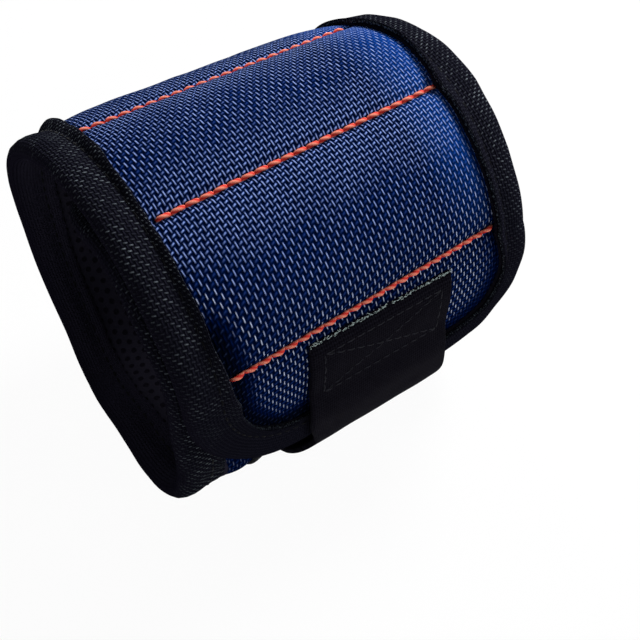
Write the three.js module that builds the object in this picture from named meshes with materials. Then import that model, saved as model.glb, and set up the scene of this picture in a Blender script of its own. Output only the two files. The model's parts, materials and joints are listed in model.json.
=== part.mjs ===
// Magnetic wristband, rolled up and closed, built as jointed panels. Millimetres, +Z up.
// X runs across the band, the hook tab hangs at the front (-Y), and the band lies on z = 0.
import * as THREE from "three";

// Band layout, from the tab end to the loop end
const bandWidth = 88;
const pocketPitch = 31;
const endLength = 32.5;
const flapLength = 35.5;
const cornerRadius = 28;
const cornerSteps = 7;

// Layers and the clearances between them
const fabricThickness = 0.8;
const liningThickness = 1.15;
const tapeThickness = 0.55;
const bindingWidth = 11;
const layerGap = 0.2;
const edgeGap = 0.3;
const seamGap = 0.15;

// Loop pad on the outside of the long end
const padWidth = 51;
const padThickness = 1.3;
const padLead = 13.2;

// Pockets, each with one flat magnet
const pocketBow = 1.6;
const pocketEase = 0.2;
const pocketShoulder = 4.5;
const magnetMargin = 0.5;
const magnetWidth = 17;
const magnetThickness = 1.5;

// Hook tab
const tabWidth = 36;
const tabThickness = 1.4;
const tabFree = 45.8;
const tabStrap = 32.7;
const tabLift = 0.75;
const tabReach = 1.2;
const tabMargin = 3;
const tabRamp = 4;

// How the band is rolled: the heading of each panel in degrees, seen along X
const endHeading = 90;
const pocketHeadings = [45, 0, -45, -88, -126];
const loopHeadings = [-189.5, -224.5, -270, -315, -368];
const tabHeading = -43;
const tipHeading = -5.5;
const peelAngle = 75;
const floorExtra = 6.9;
const floorLength = pocketPitch + floorExtra;
const nestGap = 3.3;
const flapBow = 0.3;

// Levels of the layers, measured outwards from the seam line
const fabricTop = fabricThickness / 2;
const liningTop = -fabricTop - layerGap;
const liningBottom = liningTop - liningThickness;
const tapeTopInside = fabricTop + layerGap;
const tapeTop = tapeTopInside + tapeThickness;
const tapeBottomInside = liningBottom - layerGap;
const tapeBottom = tapeBottomInside - tapeThickness;
const padBottom = fabricTop + layerGap;
const padTop = padBottom + padThickness;
const nestOffset = tapeTop - tapeBottom + nestGap;

// Stations along a panel; the middle one is a flat facet
const stations = [0, 0.09, 0.2, 0.36, 0.64, 0.8, 0.91, 1];
const crownShare = [0, 0.45, 0.8, 1, 1, 0.8, 0.45, 0];
const segments = stations.length - 1;

const radians = THREE.MathUtils.degToRad;
const heading = (angle) => new THREE.Vector2(Math.cos(radians(angle)), Math.sin(radians(angle)));
const outward = (angle) => new THREE.Vector2(-Math.sin(radians(angle)), Math.cos(radians(angle)));
const halfTan = (angle) => Math.tan(radians(Math.abs(angle) / 2));

const group = new THREE.Group();
group.name = "magnetic_wristband";

const blueNylon = new THREE.MeshStandardMaterial({ name: "blue_nylon", color: 0x23479b, roughness: 0.8 });
const blackTape = new THREE.MeshStandardMaterial({ name: "black_tape", color: 0x17181b, roughness: 0.9 });
const blackMesh = new THREE.MeshStandardMaterial({ name: "black_mesh", color: 0x1c1d20, roughness: 0.95 });
const blackLoop = new THREE.MeshStandardMaterial({ name: "black_loop", color: 0x131416, roughness: 1 });
const blackHook = new THREE.MeshStandardMaterial({ name: "black_hook", color: 0x1a1b1e, roughness: 0.85 });
const greyMagnet = new THREE.MeshStandardMaterial({ name: "grey_magnet", color: 0x6c6e72, metalness: 0.7 });

function addNode(frame, name, geometry, material) {
  const mesh = new THREE.Mesh(geometry, material);
  mesh.name = name;
  frame.add(mesh);
}

// A frame has its origin on a hinge line, Y along the band and Z out of its face
function makeFrame(start, angle) {
  const frame = new THREE.Group();
  frame.position.set(0, start.x, start.y);
  frame.rotation.x = radians(angle);
  group.add(frame);
  return frame;
}

// A panel is a straight length of band between two seams
function makePanel(start, angle, length, bendBefore, bendAfter, bow) {
  return { frame: makeFrame(start, angle), start, angle, length, bendBefore, bendAfter, bow };
}

function panelEnd(panel) {
  return heading(panel.angle).multiplyScalar(panel.length).add(panel.start);
}

// Height of a shallow parabola with its crown of 1 in the middle
function bowShare(share) {
  return 4 * share * (1 - share);
}

function bowAt(panel, along) {
  return panel.bow * bowShare(along / panel.length);
}

function seamInset(bend, level) {
  if (bend === null) {
    return 0;
  }
  return seamGap + Math.max(0, -level) * halfTan(bend);
}

// Panels are mitred on the inside of each seam, so neighbours clear each other
function sewn(panel, across, along, level) {
  const before = seamInset(panel.bendBefore, level);
  const after = seamInset(panel.bendAfter, level);
  const mitred = before + (panel.length - before - after) * (along / panel.length);
  return new THREE.Vector3(across, mitred, level + bowAt(panel, along));
}

function warp(geometry, move) {
  const position = geometry.attributes.position;
  const point = new THREE.Vector3();
  for (let index = 0; index < position.count; index += 1) {
    point.fromBufferAttribute(position, index);
    const moved = move(point.x, point.y, point.z);
    position.setXYZ(index, moved.x, moved.y, moved.z);
  }
  return geometry;
}

function stationAt(list, share) {
  return list[Math.round(share * (list.length - 1))];
}

// A flat layer of full panel length, cut at the panel's stations
function layer(panel, width, from, to, bottom, top) {
  const box = new THREE.BoxGeometry(width, 1, 1, 1, segments, 1);
  return warp(box, (x, y, z) => {
    const along = from + (to - from) * stationAt(stations, y + 0.5);
    return sewn(panel, x, along, z > 0 ? top : bottom);
  });
}

// Pocket fabric: flat under the side bindings, raised over the magnet
const fabricHalf = bandWidth / 2 - tapeThickness - edgeGap;
const openHalf = bandWidth / 2 - bindingWidth;
const flatHalf = openHalf - pocketShoulder;
const shoulderHalf = openHalf - pocketShoulder / 3;
const riseHalf = (shoulderHalf + flatHalf) / 2;
const halfStations = [flatHalf, riseHalf, shoulderHalf, fabricHalf];
const acrossStations = [...halfStations.map((half) => -half).reverse(), ...halfStations];
const acrossShare = [0, 0, 0.7, 1, 1, 0.7, 0, 0];
const [, , shoulderShare, facetShare] = stations;
const [, , shoulderCrown] = crownShare;
const shoulderBow = bowShare(shoulderShare) * pocketBow;
const facetBow = bowShare(facetShare) * pocketBow;
const magnetLength = 2 * (flatHalf - magnetMargin);
const magnetBottom = liningTop + facetBow + pocketEase;
const crownNeeded = magnetBottom + magnetThickness + pocketEase + fabricTop - shoulderBow;
const pocketCrown = crownNeeded / shoulderCrown;

function pocketFabric(panel) {
  const box = new THREE.BoxGeometry(1, 1, 1, acrossStations.length - 1, segments, 1);
  return warp(box, (x, y, z) => {
    const share = stationAt(acrossShare, x + 0.5) * stationAt(crownShare, y + 0.5);
    const along = panel.length * stationAt(stations, y + 0.5);
    const across = stationAt(acrossStations, x + 0.5);
    const level = z > 0 ? fabricTop : -fabricTop;
    const point = sewn(panel, across, along, level);
    point.z += share * pocketCrown;
    return point;
  });
}

// Binding tape folded over the edge, as a channel section (distance in from the edge, level)
function channelShape() {
  const shape = new THREE.Shape();
  shape.moveTo(0, tapeBottom);
  shape.lineTo(bindingWidth, tapeBottom);
  shape.lineTo(bindingWidth, tapeBottomInside);
  shape.lineTo(tapeThickness, tapeBottomInside);
  shape.lineTo(tapeThickness, tapeTopInside);
  shape.lineTo(bindingWidth, tapeTopInside);
  shape.lineTo(bindingWidth, tapeTop);
  shape.lineTo(0, tapeTop);
  shape.closePath();
  return shape;
}

// An edge path is a list of plan points with the direction into the band at each one
function sidePath(panel, side) {
  const path = stations.map((share) => ({
    across: (side * bandWidth) / 2,
    along: panel.length * share,
    inAcross: -side,
    inAlong: 0,
  }));
  return side < 0 ? path.reverse() : path;
}

function roundEndPath(panel, freeAtStart) {
  const half = bandWidth / 2;
  const turn = (along) => (freeAtStart ? along : panel.length - along);
  const slope = freeAtStart ? 1 : -1;
  const path = [{ across: half, along: turn(panel.length), inAcross: -1, inAlong: 0 }];
  for (const side of [1, -1]) {
    for (let step = 0; step <= cornerSteps; step += 1) {
      const share = side > 0 ? step / cornerSteps : 1 - step / cornerSteps;
      const angle = (Math.PI / 2) * share;
      const inAcross = -side * Math.cos(angle);
      const inAlong = Math.sin(angle);
      path.push({
        across: side * (half - cornerRadius) - inAcross * cornerRadius,
        along: turn(cornerRadius - inAlong * cornerRadius),
        inAcross,
        inAlong: slope * inAlong,
      });
    }
  }
  path.push({ across: -half, along: turn(panel.length), inAcross: 1, inAlong: 0 });
  return freeAtStart ? path.reverse() : path;
}

function binding(panel, path) {
  const options = { depth: 1, steps: path.length - 1, bevelEnabled: false };
  const channel = new THREE.ExtrudeGeometry(channelShape(), options);
  return warp(channel, (inset, level, share) => {
    const spot = stationAt(path, share);
    const across = spot.across + spot.inAcross * inset;
    return sewn(panel, across, spot.along + spot.inAlong * inset, level);
  });
}

function roundEndLayer(panel, path, bottom, top) {
  const inset = tapeThickness + edgeGap;
  const points = path.map((spot, index) => {
    const first = index === 0 || index === path.length - 1;
    const along = first ? spot.along : spot.along + spot.inAlong * inset;
    return new THREE.Vector2(spot.across + spot.inAcross * inset, along);
  });
  const slab = new THREE.ExtrudeGeometry(new THREE.Shape(points), { depth: 1, bevelEnabled: false });
  return warp(slab, (x, y, z) => sewn(panel, x, y, z > 0.5 ? top : bottom));
}

// End of the loop pad, following the inner edge of the binding around the corners
function roundPad(panel, path) {
  const inset = bindingWidth + edgeGap;
  const half = padWidth / 2;
  const reach = half - bandWidth / 2 + cornerRadius;
  const inner = cornerRadius - inset;
  const side = panel.length - cornerRadius + Math.sqrt(inner * inner - reach * reach);
  const points = [new THREE.Vector2(half, 0), new THREE.Vector2(half, side)];
  path.forEach((spot) => {
    const across = spot.across + spot.inAcross * inset;
    if (Math.abs(across) < half) {
      points.push(new THREE.Vector2(across, spot.along + spot.inAlong * inset));
    }
  });
  points.push(new THREE.Vector2(-half, side), new THREE.Vector2(-half, 0));
  const slab = new THREE.ExtrudeGeometry(new THREE.Shape(points), { depth: 1, bevelEnabled: false });
  return warp(slab, (x, y, z) => sewn(panel, x, y, z > 0.5 ? padTop : padBottom));
}

// A strip of constant section across the band, from an outline of along and level
function strip(outline, width) {
  const shape = new THREE.Shape(outline.map(([along, level]) => new THREE.Vector2(along, level)));
  const bar = new THREE.ExtrudeGeometry(shape, { depth: width, bevelEnabled: false });
  return warp(bar, (along, level, across) => new THREE.Vector3(across - width / 2, along, level));
}

// Rolled shape: five pockets on an octagon, the loop end closing it and nesting inside
const octagonAngle = 45;
const flatDistance = pocketPitch / 2 / halfTan(octagonAngle);
const firstSeam = new THREE.Vector2(-flatDistance, pocketPitch / 2);

const headings = [endHeading, ...pocketHeadings, ...loopHeadings];
const bendAfter = (index) => headings[index] - headings[index + 1];

const endStart = firstSeam.clone().addScaledVector(heading(endHeading), -endLength);
const panels = [makePanel(endStart, endHeading, endLength, null, bendAfter(0), 0)];
pocketHeadings.forEach((angle, index) => {
  const start = panelEnd(panels[index]);
  panels.push(makePanel(start, angle, pocketPitch, bendAfter(index), bendAfter(index + 1), pocketBow));
});

const floorStart = panelEnd(panels[5]);
panels.push(makePanel(floorStart, loopHeadings[0], floorLength, bendAfter(5), bendAfter(6), 0));

const riseStart = panelEnd(panels[6]);
const flapFront = -flatDistance + nestOffset;
const riseLength = (flapFront - riseStart.x) / heading(loopHeadings[1]).x;
panels.push(makePanel(riseStart, loopHeadings[1], riseLength, bendAfter(6), bendAfter(7), 0));

const frontStart = panelEnd(panels[7]);
const cornerDrop = nestOffset * halfTan(octagonAngle);
const frontLength = firstSeam.y - cornerDrop - frontStart.y;
panels.push(makePanel(frontStart, loopHeadings[2], frontLength, bendAfter(7), bendAfter(8), 0));

const slopeStart = panelEnd(panels[8]);
const slopeLength = pocketPitch - 2 * cornerDrop;
panels.push(makePanel(slopeStart, loopHeadings[3], slopeLength, bendAfter(8), bendAfter(9), flapBow));

const topStart = panelEnd(panels[9]);
panels.push(makePanel(topStart, loopHeadings[4], flapLength, bendAfter(9), null, 0));

// Tab end of the band
const endPanel = panels[0];
const endPath = roundEndPath(endPanel, true);
addNode(endPanel.frame, "end_fabric", roundEndLayer(endPanel, endPath, -fabricTop, fabricTop), blueNylon);
addNode(endPanel.frame, "end_lining", roundEndLayer(endPanel, endPath, liningBottom, liningTop), blackMesh);
addNode(endPanel.frame, "end_binding", binding(endPanel, endPath), blackTape);

function addLining(panel, name) {
  const lining = layer(panel, 2 * fabricHalf, 0, panel.length, liningBottom, liningTop);
  addNode(panel.frame, `${name}_lining`, lining, blackMesh);
}

function addSideBindings(panel, name) {
  addNode(panel.frame, `${name}_binding_left`, binding(panel, sidePath(panel, -1)), blackTape);
  addNode(panel.frame, `${name}_binding_right`, binding(panel, sidePath(panel, 1)), blackTape);
}

// Five pockets with their magnets
function addPocket(panel, name) {
  addNode(panel.frame, `${name}_fabric`, pocketFabric(panel), blueNylon);
  addLining(panel, name);
  addSideBindings(panel, name);
  const magnet = new THREE.BoxGeometry(magnetLength, magnetWidth, magnetThickness);
  magnet.translate(0, panel.length / 2, magnetBottom + magnetThickness / 2);
  addNode(panel.frame, `${name}_magnet`, magnet, greyMagnet);
}

// Loop end: plain fabric with the loop pad on its outside
function addLoopPanel(panel, name, padFrom) {
  const fabric = layer(panel, 2 * fabricHalf, 0, panel.length, -fabricTop, fabricTop);
  addNode(panel.frame, `${name}_fabric`, fabric, blueNylon);
  addLining(panel, name);
  addSideBindings(panel, name);
  const pad = layer(panel, padWidth, padFrom, panel.length, padBottom, padTop);
  addNode(panel.frame, `${name}_pad`, pad, blackLoop);
}

function addRoundLoopPanel(panel, name) {
  const path = roundEndPath(panel, false);
  addNode(panel.frame, `${name}_fabric`, roundEndLayer(panel, path, -fabricTop, fabricTop), blueNylon);
  addNode(panel.frame, `${name}_lining`, roundEndLayer(panel, path, liningBottom, liningTop), blackMesh);
  addNode(panel.frame, `${name}_binding`, binding(panel, path), blackTape);
  addNode(panel.frame, `${name}_pad`, roundPad(panel, path), blackLoop);
}

pocketHeadings.forEach((angle, index) => addPocket(panels[1 + index], `pocket_${index + 1}`));
addLoopPanel(panels[6], "loop_1", padLead);
addLoopPanel(panels[7], "loop_2", 0);
addLoopPanel(panels[8], "loop_3", 0);
addLoopPanel(panels[9], "loop_4", 0);
addRoundLoopPanel(panels[10], "loop_5");

// Hook tab: a base sewn over the end panel, a strap around the corner and a loose tip
const tabHalf = tabThickness / 2;
const tabHigh = tapeTop + tabLift + tabHalf;
const tabLow = fabricTop + layerGap + tabHalf;
const tabBend = endHeading + tabHeading;
const tipBend = tipHeading - tabHeading;
const tabInset = seamGap + tabHalf * halfTan(tabBend);
const tipInset = seamGap + tabHalf * halfTan(Math.max(tipBend, peelAngle - tipBend));

const baseOutline = [
  [tabInset - tabReach, tabHigh - tabHalf],
  [bindingWidth + edgeGap, tabHigh - tabHalf],
  [bindingWidth + tabRamp, tabLow - tabHalf],
  [endLength - tabMargin, tabLow - tabHalf],
  [endLength - tabMargin, tabLow + tabHalf],
  [bindingWidth + tabRamp, tabLow + tabHalf],
  [bindingWidth + edgeGap, tabHigh + tabHalf],
  [seamGap - tabReach, tabHigh + tabHalf],
];
addNode(endPanel.frame, "tab_base", strip(baseOutline, tabWidth), blackHook);

// The strap and the tip have frames of their own, with Z towards the band
const tabHinge = endStart.clone().addScaledVector(heading(endHeading), -tabReach);
tabHinge.addScaledVector(outward(endHeading), tabHigh);
const strapOutline = [
  [seamGap, -tabHalf],
  [tabStrap - tipInset, -tabHalf],
  [tabStrap - tipInset, tabHalf],
  [tabInset, tabHalf],
];
addNode(makeFrame(tabHinge, tabHeading), "tab_strap", strip(strapOutline, tabWidth), blackHook);

const tipHinge = tabHinge.clone().addScaledVector(heading(tabHeading), tabStrap);
const tipOutline = [
  [tipInset, -tabHalf],
  [tabFree - tabStrap, -tabHalf],
  [tabFree - tabStrap, tabHalf],
  [tipInset, tabHalf],
];
addNode(makeFrame(tipHinge, tipHeading), "tab_tip", strip(tipOutline, tabWidth), blackHook);

// Stand the band on z = 0 with its box centred on the origin
const box = new THREE.Box3().setFromObject(group, true);
const centre = box.getCenter(new THREE.Vector3());
group.position.set(-centre.x, -centre.y, -box.min.z);

// Hinge lines of the seams and the tab, for the joints
const seams = panels.slice(1).map((panel, index) => ({
  y: panel.start.x - centre.y,
  z: panel.start.y - box.min.z,
  bend: bendAfter(index),
}));
const tabSeam = { y: tabHinge.x - centre.y, z: tabHinge.y - box.min.z, bend: tabBend };
const tipSeam = { y: tipHinge.x - centre.y, z: tipHinge.y - box.min.z, bend: tipBend };
group.userData = { seams, tabSeam, tipSeam };

export default group;
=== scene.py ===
import json
import math

import bmesh
import bpy
import numpy as np
from mathutils import Matrix, Vector, noise


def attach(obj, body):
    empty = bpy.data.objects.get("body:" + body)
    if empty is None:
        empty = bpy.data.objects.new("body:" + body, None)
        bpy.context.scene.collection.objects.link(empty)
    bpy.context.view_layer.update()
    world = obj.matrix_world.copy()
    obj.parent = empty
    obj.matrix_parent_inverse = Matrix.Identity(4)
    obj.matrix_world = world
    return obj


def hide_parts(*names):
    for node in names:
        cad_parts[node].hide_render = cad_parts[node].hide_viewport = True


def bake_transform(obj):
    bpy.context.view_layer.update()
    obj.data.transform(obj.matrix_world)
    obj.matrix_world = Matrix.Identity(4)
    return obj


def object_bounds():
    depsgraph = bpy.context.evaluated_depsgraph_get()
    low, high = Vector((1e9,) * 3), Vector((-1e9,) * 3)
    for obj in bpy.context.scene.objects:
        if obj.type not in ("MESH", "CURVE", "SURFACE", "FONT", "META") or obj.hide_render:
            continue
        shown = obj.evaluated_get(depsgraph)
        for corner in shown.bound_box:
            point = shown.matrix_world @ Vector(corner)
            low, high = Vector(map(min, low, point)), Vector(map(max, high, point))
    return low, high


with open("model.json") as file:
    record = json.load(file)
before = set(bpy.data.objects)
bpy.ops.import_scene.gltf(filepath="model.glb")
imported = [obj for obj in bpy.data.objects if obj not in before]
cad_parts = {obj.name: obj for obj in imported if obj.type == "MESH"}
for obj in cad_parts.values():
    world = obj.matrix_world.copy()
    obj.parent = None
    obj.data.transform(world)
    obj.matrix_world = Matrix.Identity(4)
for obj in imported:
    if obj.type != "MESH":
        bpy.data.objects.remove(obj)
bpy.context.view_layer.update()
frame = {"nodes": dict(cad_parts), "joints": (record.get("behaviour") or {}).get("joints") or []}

MM = 0.001

# Sizes shared with the solids
BAND_WIDTH = 88.0
BINDING_WIDTH = 11.0
CORNER_RADIUS = 28.0
END_LENGTH = 32.5
FLAP_LENGTH = 35.5
LOOP_END_HEADING = -8.0
PAD_WIDTH = 51.0
PAD_LEAD = 13.2
TAB_WIDTH = 36.0
TAB_THICKNESS = 1.4
TAB_FREE = 45.8
TAB_STRAP = 32.7
TAB_HEADING = -43.0
TIP_HEADING = -5.5
OPEN_HALF = BAND_WIDTH / 2 - BINDING_WIDTH

# How far inside the band's edge the cloth ends, and the tape is stitched down
CLOTH_EDGE = 2.0
CLOTH_HALF = BAND_WIDTH / 2 - CLOTH_EDGE
VALLEY_INSET = 7.6
STITCHED_HALF = BAND_WIDTH / 2 - VALLEY_INSET

# Levels of the layers
COVER_TOP = 0.42
COVER_THICKNESS = 0.8
LINING_TOP = -0.62
LINING_THICKNESS = 1.15
PAD_BOTTOM = 0.6
PAD_TOP = 1.9
BAND_MIDDLE = -0.7

# How the cloth swells over the magnets and dips at the stitching
POCKET_CROWN = 1.95
LINING_SWELL = 1.3
SEAM_DIP = 0.6
SEAM_DIP_WIDTH = 1.1
STITCH_PITCH = 3.0
STITCH_PUCKER = 0.10
STITCH_PUCKER_REACH = 1.6
SEAM_WRINKLE_REACH = 3.0
ARCH_BLUNTNESS = 0.7
SIDE_SQUARENESS = 6
SIDE_BLUNTNESS = 0.75
# Unevenness of the layers: its height, and its length across and along the cloth
COVER_WAVES = (0.35, 16, 24)
COVER_WRINKLES = (0.14, 5, 8)
SEAM_WRINKLES = (0.25, 3.2, 9)
LOOP_COVER_WAVES = (0.12, 9, 12)
PAD_WAVES = (0.12, 6, 6)
LINING_WAVES = (0.15, 12, 12)
TAB_WAVES = (0.18, 9, 7)
# How far the painted crosswise highlights reach from the two seams of a pocket, and how strong they
# are at the lower one
SEAM_HIGHLIGHT_REACH = 9.0
LOW_SEAM_HIGHLIGHT_REACH = 6.0
LOW_SEAM_HIGHLIGHT = 0.8
# How far up the first pocket only pale painted dashes show, how far beside the tape the painted
# highlights fade and painted shade reaches, and the painted shade and dimmed painted highlights of
# the loop end's cloth
PALE_DASH_REACH = 20.0
FADE_REACH = 8.5
RIGHT_FADE_REACH = 5.0
SHADE_REACH = 5.0
LOOP_PAINTED_SHADE = -1.85
# Keeps a place on its own side of a seam
HAIR = 1e-6
# The stitch lines were sewn a little out of square and off their place, from the tab end to seam 6
SEAM_SKEW = (0.0, 0.044, 0.036, 0.036, 0.026, 0.026, 0.0)
SEAM_SLIDE = (0.0, 0.6, 0.8, 0.2, 0.0, 0.0, 0.0)

PANEL_BODIES = ["end_panel"] + [f"pocket_panel_{n}" for n in range(1, 6)]
PANEL_BODIES += ["floor_panel"] + [f"loop_panel_{n}" for n in range(2, 6)]
SEAM_JOINTS = [f"seam_{n}_fold" for n in range(1, 6)] + ["band_unroll"]
SEAM_JOINTS += [f"loop_fold_{n}" for n in range(1, 5)]
POCKETS = range(1, 6)
# The seam between the last pocket and the loop end
LOOP_SEAM = 6
# How far each panel swells out of the straight line between its seams
PANEL_BOW = [0.9, 2.9, 2.9, 3.3, 2.8, 2.8, 0.4, 1.3, 0.9, 0.9, 0.4]
# How far the cloth sits off its hinge line at a seam, in Y and Z
SEAM_SHIFT = {3: (0.0, -0.3), 6: (0.3, 0.3)}
# Clear of the magnets, the left edge of the last two pockets is pressed in
LEFT_BOW = PANEL_BOW[:4] + [1.2, 0.2] + PANEL_BOW[6:]
LEFT_SHIFT = {**SEAM_SHIFT, 5: (-1.5, 0.6)}
LEFT_FROM = -28.0
LEFT_REACH = 13.0
# The first loop panel curls out on both sides of the tab, and bulges to the left of it
CURLED_PANEL = 7
LEFT_CURL = 1.8
RIGHT_CURL = 0.9
CURL_FROM = TAB_WIDTH / 2 + 2
CURL_REACH = 12.0
BULGE = 2.4
BULGE_AT = -26.3
BULGE_REACH = 6.0
# The right corner of the end panel stands out of the band, and its left end hangs a little low
CORNER_CURL = 1.2
END_DROP = 1.1
END_DROP_REACH = 12.0
END_DROP_SPAN = 60.0
# How far the sides of the band are drawn in, along it
LEFT_DRAW_STOPS = (110.0, 125.5, 141.0, 156.5, 172.0, 187.5, 206.0, 218.0, 225.0, 235.0, 246.0)
LEFT_DRAW = (0.0, 0.6, 1.3, 1.7, 1.9, 1.6, 0.1, -0.9, -1.2, -0.8, 0.0)
RIGHT_DRAW_STOPS = (0.0, 20.0, 32.5, 48.0, 63.5, 79.0, 94.5)
RIGHT_DRAW = (0.0, 1.5, 2.3, 1.0, -0.4, -0.7, 0.0)


# Rest line of the band

def heading(angle):
    """A unit way in the Y-Z plane, from an angle in degrees."""
    return np.array([math.cos(math.radians(angle)), math.sin(math.radians(angle))])


class SmoothLine:
    """A curve with steady curvature through points in the Y-Z plane, measured by given lengths."""

    def __init__(self, lengths, points):
        """Finds how the line bends at each point, with straight ends."""
        self.lengths = np.array(lengths, float)
        self.points = np.array(points, float)
        step = np.diff(self.lengths)
        count = len(self.lengths)
        system = np.eye(count)
        pull = np.zeros((count, 2))
        for i in range(1, count - 1):
            system[i, i - 1:i + 2] = step[i - 1], 2 * (step[i - 1] + step[i]), step[i]
            after = (self.points[i + 1] - self.points[i]) / step[i]
            before = (self.points[i] - self.points[i - 1]) / step[i - 1]
            pull[i] = 6 * (after - before)
        self.bend = np.linalg.solve(system, pull)

    def at(self, length):
        """Points on the line and its unit directions there."""
        length = np.asarray(length, float)
        i = np.clip(np.searchsorted(self.lengths, length) - 1, 0, len(self.lengths) - 2)
        step = (self.lengths[i + 1] - self.lengths[i])[..., None]
        a = (self.lengths[i + 1] - length)[..., None] / step
        b = 1 - a
        start, end = self.points[i], self.points[i + 1]
        bend_start, bend_end = self.bend[i], self.bend[i + 1]
        point = a * start + b * end
        point = point + ((a ** 3 - a) * bend_start + (b ** 3 - b) * bend_end) * step ** 2 / 6
        slope = (end - start) / step
        slope = slope + ((1 - 3 * a * a) * bend_start + (3 * b * b - 1) * bend_end) * step / 6
        return point, slope / np.linalg.norm(slope, axis=-1, keepdims=True)

    def offset(self, length, level):
        """Points at a level out of the line's face."""
        point, way = self.at(length)
        out = np.stack([-way[..., 1], way[..., 0]], axis=-1)
        return point + out * np.asarray(level, float)[..., None]


hinges = {j["name"]: np.array(j["pos_m"][1:]) / MM for j in frame["joints"]}
seam_points = [hinges[name] for name in SEAM_JOINTS]
tab_end_point = seam_points[0] - END_LENGTH * heading(90)
loop_end_point = seam_points[-1] + FLAP_LENGTH * heading(LOOP_END_HEADING)
corner_points = [tab_end_point, *seam_points, loop_end_point]


def rest_line(bows, shifts):
    """A line of the band through its seams, from how far its panels swell and its seams shift."""
    lengths, points = [0.0], [tab_end_point]
    for number, (start, end) in enumerate(zip(corner_points, corner_points[1:])):
        length = np.linalg.norm(end - start)
        way = (end - start) / length
        out = np.array([-way[1], way[0]])
        lengths += [lengths[-1] + length / 2, lengths[-1] + length]
        points += [(start + end) / 2 + bows[number] * out,
                   end + np.array(shifts.get(number + 1, (0.0, 0.0)))]
    return SmoothLine(lengths, points)


band_line = rest_line(PANEL_BOW, SEAM_SHIFT)
left_line = rest_line(LEFT_BOW, LEFT_SHIFT)
seam_at = band_line.lengths[::2].tolist()
middle_at = band_line.lengths[1::2].tolist()
BAND_LENGTH = seam_at[-1]
LOOP_START = seam_at[LOOP_SEAM]


def ease(share):
    """A share from 0 to 1 with a soft start and end."""
    share = np.clip(share, 0, 1)
    return share ** 2 * (3 - 2 * share)


def arch(share):
    """Height of a blunt arch from one seam of a panel to the next."""
    return np.sin(math.pi * np.clip(share, 0, 1)) ** ARCH_BLUNTNESS


def panel_share(along):
    """Which panel a place is on, and how far along it from 0 to 1."""
    number = np.clip(np.searchsorted(seam_at, along, side="right") - 1, 0, len(middle_at) - 1)
    starts = np.array(seam_at)
    return number, (along - starts[number]) / (starts[number + 1] - starts[number])


def edge_curl(across, along):
    """How far the sides of the curled panel and a corner of the end panel stand out of the line."""
    number, share = panel_share(along)
    beside = ease((np.abs(across) - CURL_FROM) / CURL_REACH)
    curl = np.where(across < 0, LEFT_CURL, RIGHT_CURL) * beside
    curl = curl + BULGE * np.exp(-((across - BULGE_AT) / BULGE_REACH) ** 2)
    corner = np.where((number == 0) & (across > 0), CORNER_CURL * beside, 0.0)
    return arch(share) * (corner + np.where(number == CURLED_PANEL, curl, 0.0))


def drawn_in(across, along):
    """Places across the band with its sides drawn in."""
    left = np.interp(along, LEFT_DRAW_STOPS, LEFT_DRAW)
    right = np.interp(along, RIGHT_DRAW_STOPS, RIGHT_DRAW)
    return across - np.where(across < 0, -left, right) * (across / (BAND_WIDTH / 2)) ** 2


def on_band(across, along, level):
    """Points in space from places on the flat band."""
    across, along = np.broadcast_arrays(np.asarray(across, float), np.asarray(along, float))
    leftward = np.clip(0.5 - across / END_DROP_SPAN, 0, 1)
    drop = END_DROP * np.clip(1 - along / END_DROP_REACH, 0, 1) * leftward
    level = level + edge_curl(across, along)
    spot = band_line.offset(along - drop, level)
    left = ease((LEFT_FROM - across) / LEFT_REACH)[..., None]
    spot = spot + left * (left_line.offset(along - drop, level) - spot)
    return np.concatenate([drawn_in(across, along)[..., None], spot], axis=-1)


def on_cover(across, along, level):
    """Points of the outer cloth, skewed as its stitch lines are."""
    stops = seam_at[:len(SEAM_SKEW)]
    skew, slide = [np.interp(along, stops, values) for values in (SEAM_SKEW, SEAM_SLIDE)]
    return on_band(across, along + skew * across + slide, level)


def soft_noise(x, y, seed):
    """Smooth noise from -1 to 1 for arrays of places."""
    flat = zip(np.ravel(x), np.ravel(y))
    values = [noise.noise(Vector((float(a), float(b), seed))) for a, b in flat]
    return np.reshape(values, np.shape(x))


def run_of(points):
    """How far along a path each of its points is."""
    return np.concatenate([[0], np.cumsum(np.linalg.norm(np.diff(points, axis=0), axis=1))])


def uneven(across, along, waves, seed):
    """Unevenness of a cloth, from its height and its length across and along."""
    height, across_mm, along_mm = waves
    return height * soft_noise(across / across_mm, along / along_mm, seed)


# Meshes

def make_piece(name, points, faces, flat, material, sharp=50):
    """A mesh object from points in mm, with the place on the flat cloth kept for its material."""
    mesh = bpy.data.meshes.new(name)
    mesh.from_pydata((np.reshape(points, (-1, 3)) * MM).tolist(), [], faces)
    work = bmesh.new()
    work.from_mesh(mesh)
    bmesh.ops.recalc_face_normals(work, faces=work.faces)
    work.to_mesh(mesh)
    work.free()
    kept = mesh.attributes.new("flat_mm", "FLOAT_VECTOR", "POINT")
    kept.data.foreach_set("vector", np.reshape(flat, -1).astype(np.float32))
    mesh.materials.append(material)
    mesh.shade_smooth()
    mesh.set_sharp_from_angle(angle=math.radians(sharp))
    piece = bpy.data.objects.new(name, mesh)
    bpy.context.scene.collection.objects.link(piece)
    return piece


def sheet_faces(rows, columns):
    """Faces of a closed sheet: an outer grid, an inner grid and the rim between them."""
    faces = []
    inner = rows * columns
    for i in range(rows - 1):
        for j in range(columns - 1):
            a = i * columns + j
            quad = (a, a + 1, a + columns + 1, a + columns)
            faces.append(quad)
            faces.append(tuple(inner + n for n in reversed(quad)))
    around = list(range(columns))
    around += [i * columns + columns - 1 for i in range(1, rows)]
    around += [(rows - 1) * columns + j for j in range(columns - 2, -1, -1)]
    around += [i * columns for i in range(rows - 2, 0, -1)]
    for a, b in zip(around, around[1:] + around[:1]):
        faces.append((b, a, inner + a, inner + b))
    return faces


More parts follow.
